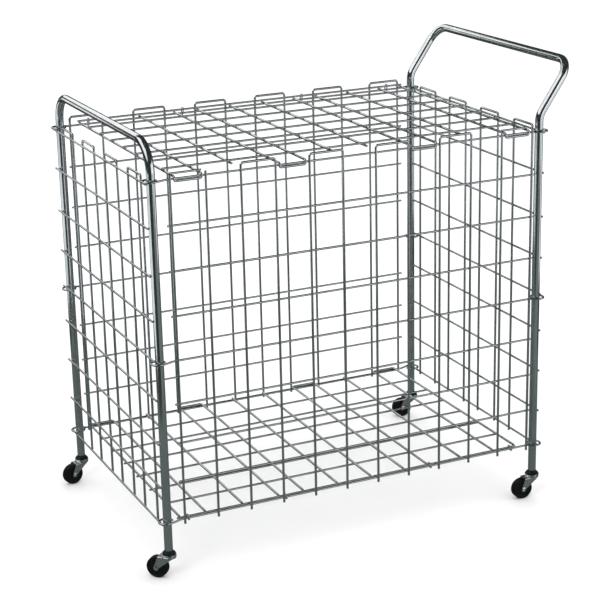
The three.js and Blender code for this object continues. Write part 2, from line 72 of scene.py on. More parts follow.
# %% Sizes of the tubes and wires
MM = 0.001
FIT = 0.3 * MM
WELD = 0.4 * MM
THICK_WIRE = 5.5 * MM
THIN_WIRE = 4.8 * MM
TIE_WIRE = 3 * MM
TUBE = 19 * MM
TUBE_WALL = 1.5 * MM
POST_X = 942 * MM / 2
POST_Y = 607 * MM / 2
LAYER = (THICK_WIRE + THIN_WIRE) / 2 - WELD
REST = (THICK_WIRE + THIN_WIRE) / 2 + FIT

tube_low, tube_high = (np.array(corner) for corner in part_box("left_end_tube"))
MIDDLE = np.array([(tube_low[0] + tube_high[0]) / 2 + POST_X, (tube_low[1] + tube_high[1]) / 2, 0])
TUBE_FOOT = tube_low[2]
print("middle of the posts:", MIDDLE.round(5), "tube foot:", round(TUBE_FOOT, 4))

# %% [markdown]
# ## One way to make every surface
# Wires, tubes, wheels and forks are all grids of points: rows along the piece, columns round it.
# Collecting grids and making one mesh of them keeps each panel a single object, and working on whole
# arrays is far quicker than walking over vertices.

# %% Grids of points become meshes
CREASE = np.radians(38)


class Surfaces:
    """Collects surfaces given as grids of points and makes one mesh of them."""

    def __init__(self):
        self.points = []
        self.faces = []
        self.uvs = []
        self.count = 0

    def add(self, grids, lengths=None, loop=False):
        """Adds grids of shape (copies, rows, columns, 3) or (rows, columns, 3).

        Columns close round the surface. A face joins (r, c), (r, c+1), (r+1, c+1) and (r+1, c), so
        it points outwards where round x along does. A loop's last row joins its first, and any
        other surface gets a flat end at its first and last row. U is the share of the way round,
        and V is the length along the piece in metres.
        """
        grids = np.asarray(grids, float)
        grids = grids.reshape((-1,) + grids.shape[-3:])
        copies, rows, columns = grids.shape[:3]
        index = self.count + np.arange(copies * rows * columns).reshape(copies, rows, columns)
        v = np.zeros(rows) if lengths is None else np.asarray(lengths, float)
        self.points.append(grids.reshape(-1, 3))
        self.count += copies * rows * columns
        if loop:
            index = np.concatenate([index, index[:, :1]], axis=1)
            v = np.append(v, v[-1])
        beside = np.roll(index, -1, axis=2)
        quads = np.stack([index[:, :-1], beside[:, :-1], beside[:, 1:], index[:, 1:]], axis=-1)
        self.faces += quads.reshape(-1, 4).tolist()
        u = np.arange(columns) / columns
        corners = [(0, 0), (1, 0), (1, 1), (0, 1)]
        uv = np.stack([
            np.stack(np.broadcast_arrays(u[None] + du / columns, v[dv : len(v) - 1 + dv, None]), axis=-1)
            for du, dv in corners
        ], axis=-2)
        self.uvs.append(np.broadcast_to(uv, (copies,) + uv.shape).reshape(-1, 2))
        if not loop:
            self.faces += index[:, 0, ::-1].tolist() + index[:, -1].tolist()
            self.uvs.append(np.zeros((2 * copies * columns, 2)))
        return self

    def mesh(self, name):
        """Makes the mesh, smooth everywhere but at edges that turn more than a crease does."""
        mesh = bpy.data.meshes.new(name)
        mesh.from_pydata(np.concatenate(self.points).tolist(), [], self.faces)
        uv_map = mesh.uv_layers.new(name="Along")
        uv_map.data.foreach_set("uv", np.concatenate(self.uvs).ravel())
        mesh.polygons.foreach_set("use_smooth", np.ones(len(mesh.polygons), bool))
        mesh.set_sharp_from_angle(angle=CREASE)
        mesh.update()
        return mesh


print("edges stay sharp above", round(np.degrees(CREASE)), "degrees")

# %% Put a mesh into the scene in place of a solid
def place(name, surfaces, material, body, slot, node):
    """Makes an object of the surfaces. It rides on a body and stands for one node of the frame."""
    piece = bpy.data.objects.new(name, surfaces.mesh(name))
    bpy.context.scene.collection.objects.link(piece)
    piece.data.materials.append(material)
    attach(piece, body)
    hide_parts(node)


# %% [markdown]
# ## Bent wire
# A bender leaves straight runs and round bends. The path is worked out the same way: arcs of a given
# radius at the corners, and a section that is carried along without twist. A round section is
# swept along it, and the cut ends get the small chamfer that tumbling leaves.

# %% A path of runs and bends
WIRE_STEP = np.radians(10)
SAME_PLACE = FIT / 10


def bent_path(corners, bends, step=WIRE_STEP):
    """Places and headings along straight runs with an arc at each inner corner.

    An arc that turns by t starts bend * tan(t / 2) before its corner and has its centre at one
    bend's distance, square to the run, on the inside of the turn.
    """
    corners = np.asarray(corners, float)
    runs = np.diff(corners, axis=0)
    ways = runs / np.linalg.norm(runs, axis=1)[:, None]
    places, headings = [corners[:1]], [ways[:1]]
    for corner, bend, into, out in zip(corners[1:-1], bends, ways[:-1], ways[1:]):
        turn = np.arccos(np.clip(into @ out, -1, 1))
        inward = out - (out @ into) * into
        inward /= np.linalg.norm(inward)
        angles = np.linspace(0, turn, max(2, int(np.ceil(turn / step)) + 1))[:, None]
        start = corner - into * bend * np.tan(turn / 2)
        places.append(start + bend * (np.sin(angles) * into + (1 - np.cos(angles)) * inward))
        headings.append(np.cos(angles) * into + np.sin(angles) * inward)
    places = np.concatenate(places + [corners[-1:]])
    headings = np.concatenate(headings + [ways[-1:]])
    keep = np.append(True, np.linalg.norm(np.diff(places, axis=0), axis=1) > SAME_PLACE)
    return places[keep], headings[keep]


square_turn = bent_path([(0, 0, 0), (1, 0, 0), (1, 1, 0)], [0.1])[0]
print("places along a run, a square turn and a run:", len(square_turn))

# %% A round section along a path
WIRE_ROUND = 16
WIRE_FACING = (0.3, 0.5, 0.8)  # no wire of the cart runs this way
CHAMFER_SHARE = 1 / 8


def carried_normals(headings, facing):
    """Turns a first normal from heading to heading, each time only as far as the heading turns."""
    normal = facing - (facing @ headings[0]) * headings[0]
    normals = [normal / np.linalg.norm(normal)]
    for before, after in zip(headings[:-1], headings[1:]):
        axis = np.cross(before, after)
        turned = normals[-1] + np.cross(axis, normals[-1])
        turned += np.cross(axis, np.cross(axis, normals[-1])) / (1 + before @ after)
        normals.append(turned / np.linalg.norm(turned))
    return np.array(normals)


def round_rows(places, headings, radii, facing, columns=WIRE_ROUND):
    """The grid place + radius * (cos(a) * normal + sin(a) * heading x normal)."""
    normals = carried_normals(headings, np.asarray(facing, float))
    across = np.cross(headings, normals)
    angle = np.linspace(0, 2 * np.pi, columns, endpoint=False)[None, :, None]
    rim = np.cos(angle) * normals[:, None] + np.sin(angle) * across[:, None]
    return places[:, None] + np.asarray(radii)[:, None, None] * rim


def wire_grid(path, diameter):
    """A round wire along a path, with a chamfer of an eighth of its diameter at both ends."""
    places, headings = path
    chamfer = diameter * CHAMFER_SHARE
    ends = np.array([places[0] + headings[0] * chamfer, places[-1] - headings[-1] * chamfer])
    places = np.concatenate([places[:1], ends[:1], places[1:-1], ends[1:], places[-1:]])
    first, last = headings[:1], headings[-1:]
    headings = np.concatenate([first, first, headings[1:-1], last, last])
    radii = np.full(len(places), diameter / 2)
    radii[[0, -1]] -= chamfer
    lengths = np.append(0, np.cumsum(np.linalg.norm(np.diff(places, axis=0), axis=1)))
    return round_rows(places, headings, radii, WIRE_FACING), lengths


def add_wire(surfaces, corners, bends, diameter):
    """Adds one bent wire. Its corners are given from the middle of the posts."""
    surfaces.add(*wire_grid(bent_path(MIDDLE + corners, bends), diameter))


print("points round a wire:", WIRE_ROUND)

# %% [markdown]
# ## Shader maths in Python
# A material is a sum of masks. Wrapping a socket in a small class lets the masks be written as
# plain expressions, which are shorter to read than a list of nodes and links.

# %% A socket with arithmetic
class Shade:
    """One output socket of a node tree, which adds Math nodes when it is used in arithmetic."""

    def __init__(self, tree, socket=None):
        self.tree = tree
        self.socket = socket

    def node(self, kind, settings=None, inputs=None, output=0):
        """Adds a node, applies its settings, and fills its sockets with values or links."""
        made = self.tree.nodes.new(kind)
        for name, value in (settings or {}).items():
            if name == "stops":
                set_stops(made.color_ramp, value)
            else:
                setattr(made, name, value)
        for name, value in (inputs or {}).items():
            if isinstance(value, Shade):
                self.tree.links.new(value.socket, made.inputs[name])
            else:
                made.inputs[name].default_value = value
        return Shade(self.tree, made.outputs[output])

    def math(self, operation, first, second):
        """The Math node first (operation) second."""
        return self.node("ShaderNodeMath", {"operation": operation}, {0: first, 1: second})

    def __add__(self, other):
        return self.math("ADD", self, other)

    def __radd__(self, other):
        return self.math("ADD", other, self)

    def __mul__(self, other):
        return self.math("MULTIPLY", self, other)

    def __rmul__(self, other):
        return self.math("MULTIPLY", other, self)

    def __sub__(self, other):
        return self.math("SUBTRACT", self, other)

    def __rsub__(self, other):
        return self.math("SUBTRACT", other, self)

    def ramp(self, *stops):
        """A mask that runs through (place, level) stops."""
        colours = [(place, (level, level, level, 1)) for place, level in stops]
        return self.node("ShaderNodeValToRGB", {"stops": colours}, {"Fac": self})

    def mix(self, low, high):
        """The colour low where this mask is 0 and high where it is 1."""
        return self.node("ShaderNodeMix", {"data_type": "RGBA"},
                         {"Factor": self, 6: (*low, 1), 7: (*high, 1)}, output=2)


def set_stops(ramp, stops):
    """Gives a colour ramp exactly these (place, colour) stops."""
    while len(ramp.elements) > 1:
        ramp.elements.remove(ramp.elements[-1])
    ramp.elements[0].position, ramp.elements[0].color = stops[0]
    for position, colour in stops[1:]:
        ramp.elements.new(position).color = colour


# %% Coordinates, noise and the finished material
def object_space(tree):
    """Places on the piece in metres."""
    return Shade(tree).node("ShaderNodeTexCoord", output="Object")


def along_wire(tree, round_scale, length_scale):
    """The piece's own map, stretched so that noise on it runs in lines along the wire."""
    uv = Shade(tree).node("ShaderNodeUVMap", {"uv_map": "Along"})
    return uv.node("ShaderNodeMapping", None, {"Vector": uv, "Scale": (round_scale, length_scale, 1)})


def noise(where, size, detail=2.0, roughness=0.5):
    """Noise from 0 to 1, with patches of about this size in metres."""
    settings = {"Vector": where, "Scale": 1 / size, "Detail": detail, "Roughness": roughness}
    return where.node("ShaderNodeTexNoise", None, settings)


def material(name, build, metallic, **sockets):
    """A Principled material. Build gets its tree and returns what varies over the surface."""
    made = bpy.data.materials.new(name)
    made.use_nodes = True
    tree = made.node_tree
    shader = tree.nodes["Principled BSDF"]
    shader.inputs["Metallic"].default_value = metallic
    for socket, value in sockets.items():
        shader.inputs[socket.replace("_", " ")].default_value = value
    for socket, value in build(tree).items():
        tree.links.new(value.socket, shader.inputs[socket])
    return made


# %% [markdown]
# ## Bright plate on drawn wire
# The wires and tubes are bright plated. Drawing leaves faint lines along the wire, the plate shows
# a soft haze in patches, and handling leaves small dull spots. All of it is kept weak, because the
# plate still mirrors the room. The lines follow the wire's own map, and the rest follows the object.

# %% The plated finishes
def plated(bright, dull, lowest, highest):
    """Makes a builder for plate between two colours and two roughness values."""
    def build(tree):
        where = object_space(tree)
        lines = noise(along_wire(tree, 26, 9), 1, 3, 0.6)
        haze = noise(where, 55 * MM, 3).ramp((0.35, 0), (0.7, 1))
        spots = noise(where, 2.5 * MM, 2).ramp((0.62, 0), (0.72, 1))
        wear = haze * 0.55 + spots * 0.25 + lines * 0.3
        height = lines * 0.6 + noise(where, 0.8 * MM, 2) * 0.2
        bump = height.node("ShaderNodeBump", None,
                           {"Height": height, "Strength": 0.12, "Distance": 0.05 * MM})
        return {"Base Color": wear.mix(bright, dull),
                "Roughness": lowest + wear * (highest - lowest), "Normal": bump}
    return build


chrome_wire = material("chrome_wire", plated((0.80, 0.82, 0.83), (0.58, 0.60, 0.61), 0.09, 0.24), 1.0)
chrome_tube = material("chrome_tube", plated((0.86, 0.88, 0.89), (0.68, 0.70, 0.71), 0.08, 0.20), 1.0)
zinc_plate = material("zinc_plate", plated((0.90, 0.91, 0.91), (0.66, 0.68, 0.69), 0.16, 0.34), 1.0)
print("plated finishes:", [finish.name for finish in (chrome_wire, chrome_tube, zinc_plate)])

# %% [markdown]
# ## Black plastic and rubber
# The bushings are moulded plastic with a fine spark-eroded grain. The wheels are solid rubber, a
# little duller, and their treads pick up pale dust from the floor, so dust is masked by height.

# %% The black finishes
def moulded(tree):
    """Black plastic: a fine even grain and faint scuffs."""
    where = object_space(tree)
    scuffs = noise(where, 6 * MM, 4, 0.65).ramp((0.5, 0), (0.75, 1))
    grain = noise(where, 0.5 * MM, 2)
    bump = grain.node("ShaderNodeBump", None, {"Height": grain, "Strength": 0.3, "Distance": 0.06 * MM})
    return {"Base Color": scuffs.mix((0.006, 0.0065, 0.007), (0.022, 0.023, 0.024)),
            "Roughness": 0.36 + scuffs * 0.2, "Normal": bump}


def rubber(tree):
    """Black rubber: dust near the floor and a matt, slightly uneven skin."""
    where = object_space(tree)
    height = where.node("ShaderNodeSeparateXYZ", None, {"Vector": where}, output="Z")
    low = height.node("ShaderNodeMapRange", None,
                      {"Value": height, "From Min": 0.0, "From Max": 14 * MM, "To Min": 1.0, "To Max": 0.0})
    patches = noise(where, 5 * MM, 4, 0.6).ramp((0.4, 0), (0.7, 1))
    dust = low * patches
    skin = noise(where, 0.9 * MM, 3)
    bump = skin.node("ShaderNodeBump", None, {"Height": skin, "Strength": 0.35, "Distance": 0.08 * MM})
    pale = dust * 0.3 + patches * 0.05
    return {"Base Color": pale.mix((0.004, 0.004, 0.0045), (0.05, 0.049, 0.047)),
            "Roughness": 0.42 + patches * 0.16 + dust * 0.2, "Normal": bump}


black_plastic = material("black_plastic", moulded, 0.0, Specular_IOR_Level=0.2)
black_rubber = material("black_rubber", rubber, 0.0, Specular_IOR_Level=0.2)
print("black finishes:", [finish.name for finish in (black_plastic, black_rubber)])

# %% [markdown]
# ## The end tubes
# Each end is one length of tube with a bright, seamless surface. The left one is an arch. The right
# one leans out above the mesh and turns over into the push handle. The wall is real: the outer and
# inner surfaces are two sweeps of one path, joined at the open feet.

# %% Sizes of the end tubes
ARCH_TOP = 983 * MM
ARCH_BEND = 63 * MM
HANDLE_TOP = 1056.5 * MM
HANDLE_REACH = 81.4 * MM
HANDLE_KNEE = 940 * MM
HANDLE_BEND = 45 * MM
KNEE_BEND = 45 * MM
TUBE_ROUND = 40
TUBE_STEP = np.radians(5)
TUBE_FACING = (1, 0.2, 0.1)  # no part of a tube runs this way
print("the handle's top is at", round((HANDLE_TOP + TUBE / 2) / MM), "mm")

# %% A hollow tube along a path
def tube_surfaces(corners, bends):
    """The outer surface one way along the path and the bore the other way, closed as a loop."""
    places, headings = bent_path(MIDDLE + corners, bends, TUBE_STEP)
    lengths = np.append(0, np.cumsum(np.linalg.norm(np.diff(places, axis=0), axis=1)))
    outer, bore = (round_rows(places, headings, np.full(len(places), radius), TUBE_FACING, TUBE_ROUND)
                   for radius in (TUBE / 2, TUBE / 2 - TUBE_WALL))
    surfaces = Surfaces()
    surfaces.add(np.concatenate([outer, bore[::-1]]), np.concatenate([lengths, lengths[::-1]]), loop=True)
    return surfaces


left_corners = np.array([[-POST_X, -POST_Y, TUBE_FOOT], [-POST_X, -POST_Y, ARCH_TOP],
                         [-POST_X, POST_Y, ARCH_TOP], [-POST_X, POST_Y, TUBE_FOOT]])
bar_x = POST_X + HANDLE_REACH
right_corners = np.array([[POST_X, -POST_Y, TUBE_FOOT], [POST_X, -POST_Y, HANDLE_KNEE],
                          [bar_x, -POST_Y, HANDLE_TOP], [bar_x, POST_Y, HANDLE_TOP],
                          [POST_X, POST_Y, HANDLE_KNEE], [POST_X, POST_Y, TUBE_FOOT]])
right_bends = [KNEE_BEND, HANDLE_BEND, HANDLE_BEND, KNEE_BEND]
place("left_arch", tube_surfaces(left_corners, [ARCH_BEND] * 2), chrome_tube,
      "cart_frame", "chrome_plate", "left_end_tube")
place("right_handle", tube_surfaces(right_corners, right_bends), chrome_tube,
      "cart_frame", "chrome_plate", "right_end_tube")
print("end tubes made")

# %% [markdown]
# ## Welds
# At each crossing a pulse of current sinks the wires a little into each other and squeezes a small
# bead of metal out. A flat ellipsoid at the contact gives that bead. There are hundreds, so each
# has only a few dozen faces, and all of a panel's beads are added in one go.

# %% Beads at the crossings
BEAD = 3.1 * MM
BEAD_HEIGHT = 1.5 * MM
BEAD_TILT = 75
BEAD_ROWS = 5
BEAD_ROUND = 10


def add_beads(surfaces, centres, normal):
    """Adds ellipsoids: radius * cos(a) across and height * sin(a) along the normal."""
    normal = np.asarray(normal, float)
    side = np.cross(normal, WIRE_FACING)
    side /= np.linalg.norm(side)
    other = np.cross(normal, side)
    tilt = np.radians(np.linspace(-BEAD_TILT, BEAD_TILT, BEAD_ROWS))[:, None, None]
    angle = np.linspace(0, 2 * np.pi, BEAD_ROUND, endpoint=False)[None, :, None]
    flat = np.cos(angle) * side + np.sin(angle) * other
    bead = BEAD / 2 * np.cos(tilt) * flat + BEAD_HEIGHT / 2 * np.sin(tilt) * normal
    surfaces.add(MIDDLE + np.asarray(centres)[:, None, None, :] + bead[None])


print("faces of a bead:", (BEAD_ROWS - 1) * BEAD_ROUND + 2)

# %% [markdown]
# ## The long panels
# The front and back panels have twelve uprights outside nine rails. Some uprights are pairs, bent
# from one wire into a loop over the top. Three of the rails run on to the posts and wrap three
# quarters round them with some play, which is what holds the panels to the end frames.

# %% Sizes of the long panels
COLUMNS = 12
COLUMN_PITCH = 80 * MM
FRONT_OFFSET = 7.7 * MM
BACK_OFFSET = -3.7 * MM
BOTTOM_RAIL = 137 * MM
LOW_PITCH = 90 * MM
HIGH_PITCH = 99.6 * MM
RAIL_HEIGHTS = np.cumsum([BOTTOM_RAIL] + [LOW_PITCH] * 3 + [HIGH_PITCH] * 5)
RING_RAILS = (0, 4, 8)
RAIL_OFFSET = 3.7 * MM
RAIL_Y = POST_Y + RAIL_OFFSET
COLUMN_Y = RAIL_Y + LAYER
RAIL_OVERHANG = 6 * MM
RING_RUN_IN = 3 * MM
RING_RUN_IN_BEND = 5 * MM
COLUMN_OVERHANG = 10 * MM
LOOP_BEND = 6 * MM
FRONT_LOOP_RISE = 17 * MM
BACK_LOOP_RISE = 20 * MM
FRONT_LOOPS = [2, 4, 6, 8]
BACK_LOOPS = [0, 2, 4, 6, 8, 10]
RING_PLAY = 3.3 * MM
RING_GAP = FIT * 1.25
RING_X = POST_X + RING_PLAY
RING_RADIUS = TUBE / 2 + RING_PLAY + THIN_WIRE / 2 + RING_GAP
print("rails at", (RAIL_HEIGHTS / MM).round(1), "mm")

# %% A rail's end, wrapped round its post
def ring_corners(side, face, last_x, height):
    """Corners from the last column out to the post and round it, with the play on its outer side.

    The run to the post is the tangent from the rail's end to the ring's circle. Its slope is
    asin(radius / distance) less the angle down to the circle's centre.
    """
    start = side * last_x + THICK_WIRE / 2 + RING_RUN_IN - RING_X
    drop = RAIL_Y - POST_Y
    slope = np.arcsin(RING_RADIUS / np.hypot(start, drop)) - np.arctan2(drop, -start)
    meets = drop + (RING_RADIUS - start) * np.tan(slope)
    out = np.array([start, RING_RADIUS, RING_RADIUS, -RING_RADIUS, -RING_RADIUS])
    away = np.array([drop, meets, -RING_RADIUS, -RING_RADIUS, 0])
    return np.stack([side * (RING_X + out), face * (POST_Y + away), np.full(5, height)], axis=1)


# %% A long panel
def column_x(column, offset):
    """How far to the right of the middle a place along the columns is."""
    return (column - (COLUMNS - 1) / 2) * COLUMN_PITCH + offset


def long_panel(face, offset, loop_rise, loop_starts):
    """The front panel has face -1 and the back panel has face 1."""
    surfaces = Surfaces()
    x = column_x(np.arange(COLUMNS), offset)
    y = face * COLUMN_Y
    foot = RAIL_HEIGHTS[0] - COLUMN_OVERHANG
    top = RAIL_HEIGHTS[-1]
    looped = set(loop_starts) | {start + 1 for start in loop_starts}
    for start in loop_starts:
        near, far = x[start], x[start + 1]
        crown = top + loop_rise
        corners = [[near, y, foot], [near, y, crown], [far, y, crown], [far, y, foot]]
        add_wire(surfaces, np.array(corners), [LOOP_BEND] * 2, THICK_WIRE)
    for column in sorted(set(range(COLUMNS)) - looped):
        ends = [[x[column], y, foot], [x[column], y, top + COLUMN_OVERHANG]]
        add_wire(surfaces, np.array(ends), [], THICK_WIRE)
    for row, height in enumerate(RAIL_HEIGHTS):
        if row in RING_RAILS:
            left, right = ring_corners(-1, face, x[0], height), ring_corners(1, face, x[-1], height)
            bends = [RING_RADIUS] * 3 + [RING_RUN_IN_BEND] * 2 + [RING_RADIUS] * 3
            add_wire(surfaces, np.concatenate([left[::-1], right]), bends, THIN_WIRE)
        else:
            reach = THICK_WIRE / 2 + RAIL_OVERHANG
            ends = [[x[0] - reach, face * RAIL_Y, height], [x[-1] + reach, face * RAIL_Y, height]]
            add_wire(surfaces, np.array(ends), [], THIN_WIRE)
    touch = face * (RAIL_Y + (THIN_WIRE - WELD) / 2)
    centres = np.stack(np.meshgrid(x, [touch], RAIL_HEIGHTS, indexing="ij"), axis=-1).reshape(-1, 3)
    add_beads(surfaces, centres, (0, 1, 0))
    return surfaces


front = long_panel(-1, FRONT_OFFSET, FRONT_LOOP_RISE, FRONT_LOOPS)
place("front_mesh", front, chrome_wire, "cart_frame", "chrome_plate", "front_panel")
back = long_panel(1, BACK_OFFSET, BACK_LOOP_RISE, BACK_LOOPS)
place("back_mesh", back, chrome_wire, "cart_frame", "chrome_plate", "back_panel")
print("long panels made")

# %% [markdown]
# ## The end panels
# Between each pair of posts, four tall loops stand inside nine level wires that are welded across
# the posts. The level wires pass just over or under the rings of the long panels.

# %% End panels
END_LOOPS = 4
END_LOOP_WIDTH = 80 * MM
END_LOOP_GAP = 70 * MM
END_LOOP_RISE = 11.5 * MM
END_LOOP_FOOT = 4 * MM
END_RAIL_FRONT = 3.5 * MM
END_RAIL_BACK = 14.5 * MM
LOW_END_RAIL_SHARES = np.array([0, 0.233, 0.5, 0.766])
HIGH_END_RAIL_SHARES = np.array([0, 0.232, 0.488, 0.756, 1])
END_RAIL_X = POST_X + TUBE / 2 + FIT + THIN_WIRE / 2


def end_rail_heights():
    """Shares of the way between three heights that clear the rings by a wire and two gaps."""
    bottom, middle, top = RAIL_HEIGHTS[list(RING_RAILS)] + (THIN_WIRE + 2 * FIT) * np.array([-1, 1, -1])
    low = bottom + LOW_END_RAIL_SHARES * (middle - bottom)
    return np.concatenate([low, middle + HIGH_END_RAIL_SHARES * (top - middle)])


def end_panel(side):
    """Side is -1 for the left end and 1 for the right one."""
    surfaces = Surfaces()
    heights = end_rail_heights()
    x = side * (END_RAIL_X - LAYER)
    middles = (np.arange(END_LOOPS) - (END_LOOPS - 1) / 2) * (END_LOOP_WIDTH + END_LOOP_GAP)
    foot, crown = heights[0] - END_LOOP_FOOT, heights[-1] + END_LOOP_RISE
    for middle in middles:
        near, far = middle - END_LOOP_WIDTH / 2, middle + END_LOOP_WIDTH / 2
        corners = [[x, near, foot], [x, near, crown], [x, far, crown], [x, far, foot]]
        add_wire(surfaces, np.array(corners), [LOOP_BEND] * 2, THICK_WIRE)
    x = side * END_RAIL_X
    for height in heights:
        ends = [[x, -POST_Y - END_RAIL_FRONT, height], [x, POST_Y + END_RAIL_BACK, height]]
        add_wire(surfaces, np.array(ends), [], THIN_WIRE)
    legs = np.concatenate([middles - END_LOOP_WIDTH / 2, middles + END_LOOP_WIDTH / 2])
    touch = side * (END_RAIL_X - (THIN_WIRE - WELD) / 2)
    centres = np.stack(np.meshgrid([touch], legs, heights, indexing="ij"), axis=-1).reshape(-1, 3)
    add_beads(surfaces, centres, (1, 0, 0))
    return surfaces


place("left_mesh", end_panel(-1), chrome_wire, "cart_frame", "chrome_plate", "left_end_mesh")
place("right_mesh", end_panel(1), chrome_wire, "cart_frame", "chrome_plate", "right_end_mesh")
print("end panels made")

# %% [markdown]
# ## Lid and floor
# The lid and the floor share one pattern: twelve cross wires, four pairs of which are single wires
# bent into a loop at the far rail, and eight long wires. The lid's loops are tabs that drop behind
# the rail, and the floor's lie flat on it. The lid has its long wires on top, the floor underneath.

# %% Sizes of the lid and the floor
TAB_WIDTH = 61 * MM
TAB_DROP = 9.5 * MM
TAB_BEND = 4.5 * MM
OUTER_TAB = 5 * COLUMN_PITCH
INNER_TAB = 2 * COLUMN_PITCH
LONG_WIRES = 8
LONG_WIRE_OVERHANG = 5 * MM
HINGE_OVERHANG = 2.4 * MM
LID_HINGE_INSET = 5.2 * MM
LID_PITCH = 79.1 * MM
LID_OVERHANG = 12 * MM
LID_BRACE_INSET = 7.2 * MM
LID_OFFSET = 7.7 * MM
FLOOR_HINGE_INSET = 7.2 * MM
FLOOR_PITCH = 86 * MM
FLOOR_OVERHANG = 5 * MM
FLOOR_OFFSET = -11.5 * MM
LID_DEPTH, FLOOR_DEPTH = (pitch * (LONG_WIRES - 1) for pitch in (LID_PITCH, FLOOR_PITCH))
print("the long wires span", round(LID_DEPTH / MM), "mm of the lid and",
      round(FLOOR_DEPTH / MM), "mm of the floor")

# %% A panel that swings
def tab_loop(near, far, ahead, z):
    """Corners over the rail, down behind it, along and back over it."""
    y, low = ahead * (RAIL_Y + REST), z - TAB_DROP
    return [[near, y, z], [near, y, low], [far, y, low], [far, y, z]], [TAB_BEND] * 4


def flat_loop(near, far, ahead, z):
    """Corners along the rail."""
    return [[near, ahead * RAIL_Y, z], [far, ahead * RAIL_Y, z]], [LOOP_BEND] * 2


def swing_panel(ahead, rail, long_side, hinge_inset, pitch, overhang, offset, loop):
    """Ahead is 1 or -1, the way from the hinge wire to the far rail along Y."""
    surfaces = Surfaces()
    cross_z = rail + REST
    long_z = cross_z + long_side * LAYER
    long_y = ahead * (hinge_inset - RAIL_Y + pitch * np.arange(LONG_WIRES))
    back = long_y[0] - ahead * HINGE_OVERHANG
    tabs = np.array([-OUTER_TAB, -INNER_TAB, INNER_TAB, OUTER_TAB]) + offset
    for near in tabs - TAB_WIDTH / 2:
        far = near + TAB_WIDTH
        corners, bends = loop(near, far, ahead, cross_z)
        corners = [[near, back, cross_z], *corners, [far, back, cross_z]]
        add_wire(surfaces, np.array(corners), bends, THICK_WIRE)
    between = (OUTER_TAB + INNER_TAB) / 2
    near_middle = (INNER_TAB - TAB_WIDTH / 2) / 3
    plain = np.array([-between, -near_middle, near_middle, between]) + offset
    for x in plain:
        ends = [[x, back, cross_z], [x, long_y[-1] + ahead * overhang, cross_z]]
        add_wire(surfaces, np.array(ends), [], THICK_WIRE)
    reach = OUTER_TAB + TAB_WIDTH / 2 + LONG_WIRE_OVERHANG
    for y in long_y:
        ends = [[offset - reach, y, long_z], [offset + reach, y, long_z]]
        add_wire(surfaces, np.array(ends), [], THIN_WIRE)
    crossings = np.concatenate([tabs - TAB_WIDTH / 2, tabs + TAB_WIDTH / 2, plain])
    touch = long_z - long_side * (THIN_WIRE - WELD) / 2
    centres = np.stack(np.meshgrid(crossings, long_y, [touch], indexing="ij"), axis=-1).reshape(-1, 3)
    add_beads(surfaces, centres, (0, 0, 1))
    return surfaces


lid = swing_panel(-1, RAIL_HEIGHTS[-1], 1, LID_HINGE_INSET, LID_PITCH, LID_OVERHANG, LID_OFFSET, tab_loop)
brace_y, brace_z = LID_BRACE_INSET - RAIL_Y, RAIL_HEIGHTS[-1] + REST + LAYER
brace_reach = TAB_WIDTH / 2 + LONG_WIRE_OVERHANG
for tab in (-OUTER_TAB + LID_OFFSET, OUTER_TAB + LID_OFFSET):
    ends = [[tab - brace_reach, brace_y, brace_z], [tab + brace_reach, brace_y, brace_z]]
    add_wire(lid, np.array(ends), [], THIN_WIRE)
place("lid_mesh", lid, chrome_wire, "lid", "chrome_plate", "lid_panel")
floor_panel = swing_panel(1, RAIL_HEIGHTS[0], -1, FLOOR_HINGE_INSET, FLOOR_PITCH, FLOOR_OVERHANG,
                          FLOOR_OFFSET, flat_loop)
place("floor_mesh", floor_panel, chrome_wire, "floor", "chrome_plate", "floor_panel")
print("lid and floor made")

# %% [markdown]
# ## Tie rings
# Open rings of thin wire, closed with pliers, hold the lid's last wire to the back rail and the
# floor's first wire to the front rail. Each goes round two wires, with its ends a little apart.

# %% Rings round two wires
TIE_PLAY = 0.6 * MM
TIE_OPENING = 1 * MM


def tie_ring(x, rail, hinge):
    """The four corners of a box round both wires, rounded so far that its short sides are arcs."""
    bend = THIN_WIRE / 2 + TIE_PLAY + TIE_WIRE / 2
    along = (hinge - rail) / np.linalg.norm(hinge - rail)
    across = np.cross(along, (1.0, 0.0, 0.0))
    middle = (rail + hinge) / 2
    corners = [middle + along * TIE_OPENING / 2 + across * bend,
               hinge + (along + across) * bend, hinge + (along - across) * bend,
               rail - (along + across) * bend, rail - (along - across) * bend,
               middle - along * TIE_OPENING / 2 + across * bend]
    surfaces = Surfaces()
    add_wire(surfaces, np.array(corners) + [x, 0, 0], [bend] * 4, TIE_WIRE)
    return surfaces


back_rail = np.array([0, RAIL_Y, RAIL_HEIGHTS[-1]])
lid_hinge = back_rail + [0, -LID_HINGE_INSET, REST + LAYER]
front_rail = np.array([0, -RAIL_Y, RAIL_HEIGHTS[0]])
floor_hinge = front_rail + [0, FLOOR_HINGE_INSET, REST - LAYER]
TIE_COLUMNS = [(0.4, 0.13), (3.4, 3.09), (7.4, 7.75), (10.4, 10.5)]
for number, (lid_column, floor_column) in enumerate(TIE_COLUMNS, start=1):
    for panel, column, rail, hinge in (("lid", lid_column, back_rail, lid_hinge),
                                       ("floor", floor_column, front_rail, floor_hinge)):
        ring = tie_ring(column_x(column, FRONT_OFFSET), rail, hinge)
        place(f"{panel}_tie_{number}", ring, zinc_plate, "cart_frame", "zinc_plate",
              f"{panel}_tie_ring_{number}")
print("tie rings made")

# %% [markdown]
# ## Casters
# Each caster is turned and pressed work. The turned pieces are outlines spun about an axis. The fork
# is one pressed sheet: a strip that runs up one leg, over a bend, across the top and down the other
# leg, whose front and back edges change along the strip.

